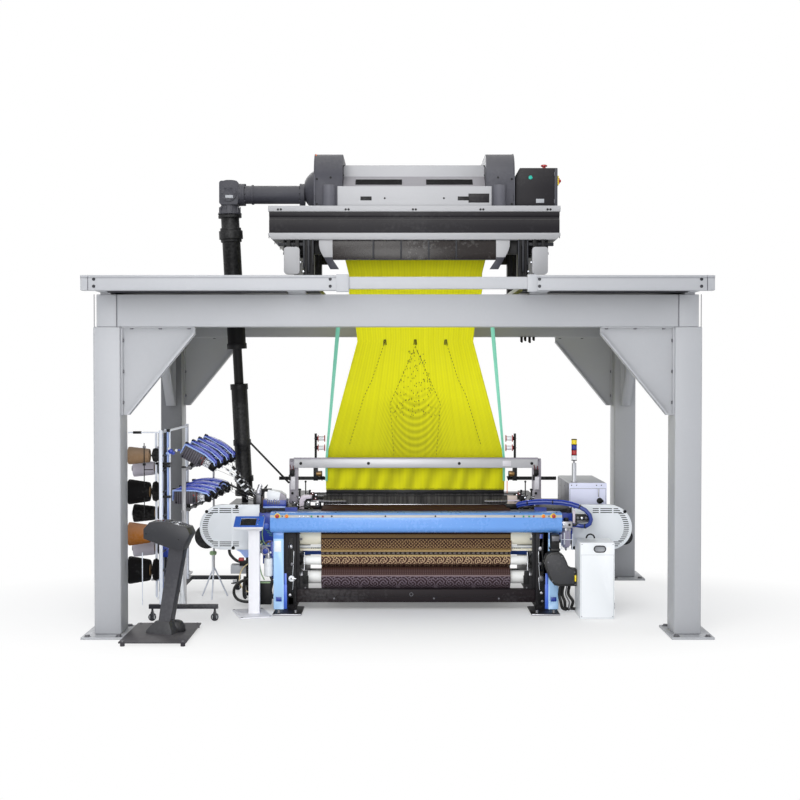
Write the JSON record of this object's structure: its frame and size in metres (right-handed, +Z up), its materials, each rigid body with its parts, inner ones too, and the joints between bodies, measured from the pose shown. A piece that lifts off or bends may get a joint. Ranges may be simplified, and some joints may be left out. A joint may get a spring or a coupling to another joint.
{
  "type": "shuttleless loom with jacquard head",
  "caption": "Shuttleless rapier loom with a jacquard head on a steel gantry, yellow harness, cloth roll, weft feeders, yarn creel, control stands and a raised platform",
  "frame": {"origin": "on the floor, at the centre of the footprint of the whole machine", "axes": "+X to the right seen from the weaver's side, +Y from the cloth side to the warp side, +Z up"},
  "size_m": [5.472, 4.045, 4.481],
  "materials": {
    "grey_paint": "satin light grey paint",
    "grating": "dark steel grating",
    "pale_panel": "smooth pale grey paint",
    "dark_panel": "fine textured dark grey paint",
    "black_plastic": "matt black",
    "harness_cord": "taut yellow cords",
    "heddle_wire": "fine steel wires",
    "green_strap": "woven flat strap",
    "bright_steel": "brushed",
    "dark_frame": "dark paint",
    "light_blue": "gloss light blue paint",
    "deep_blue": "moulded blue",
    "white_panel": "smooth white paint",
    "grey_cabinet": "grey paint",
    "lamp": "coloured lamp lenses",
    "roller_rubber": "cream covering",
    "woven_cloth": "woven bands",
    "beam_aluminium": "machined",
    "warp_yarn": "parallel yarns",
    "yarn": "wound yarn"
  },
  "bodies": {
    "machine": {"gantry_base_plates": "grey_paint", "gantry_columns": "grey_paint", "gantry_cross_beams": "grey_paint", "gantry_side_beams": "grey_paint", "gantry_gussets": "grey_paint", "platform_rails_cross": "grey_paint", "platform_rails_side": "grey_paint", "platform_decks": "grating", "jacquard_frames": "pale_panel", "jacquard_fascia": "dark_panel", "jacquard_housing": "pale_panel", "jacquard_vents": "black_plastic", "jacquard_end_covers": "dark_panel", "jacquard_cabinet": "dark_panel", "jacquard_legs": "dark_panel", "jacquard_leg_boxes": "pale_panel", "harness_shroud": "pale_panel", "harness_screen": "black_plastic", "drive_gearbox": "dark_panel", "drive_cross_tube": "dark_panel", "drive_shaft_upper": "black_plastic", "drive_shaft_lower": "black_plastic", "harness": "harness_cord", "heddles": "heddle_wire", "harness_straps": "green_strap", "harness_bar": "bright_steel", "bar_brackets": "pale_panel", "loom_side_frames": "dark_frame", "loom_cross_beams": "dark_frame", "breast_beam_cover": "light_blue", "front_legs": "light_blue", "rapier_housings": "dark_frame", "side_covers": "white_panel", "sley": "heddle_wire", "cloth_web": "woven_cloth", "guide_bars": "bright_steel", "warp_beam": "beam_aluminium", "warp_sheet": "warp_yarn", "control_cabinet": "grey_cabinet", "signal_tower": "lamp", "waste_box": "white_panel", "suction_elbow": "black_plastic", "air_filter": "bright_steel", "cable_loop": "deep_blue", "weft_gear": "deep_blue", "feeder_stand": "bright_steel", "weft_feeders": "deep_blue", "creel_frame": "dark_frame", "yarn_packages": "yarn", "terminal_post": "white_panel", "console": "dark_panel"},
    "takeup_roller": {"takeup_roller": "roller_rubber"},
    "press_roller": {"press_roller": "roller_rubber"},
    "cloth_roll": {"cloth_roll": "woven_cloth"}
  },
  "joints": [
    {"name": "takeup_roller_turn", "type": "hinge", "parent": "machine", "child": "takeup_roller", "pos_m": [0.175, -0.1525, 0.7], "axis": [1, 0, 0], "continuous": true},
    {"name": "press_roller_turn", "type": "hinge", "parent": "machine", "child": "press_roller", "pos_m": [0.175, -0.1775, 0.465], "axis": [1, 0, 0], "continuous": true},
    {"name": "cloth_roll_turn", "type": "hinge", "parent": "machine", "child": "cloth_roll", "pos_m": [0.175, -0.1125, 0.29], "axis": [1, 0, 0], "continuous": true}
  ]
}
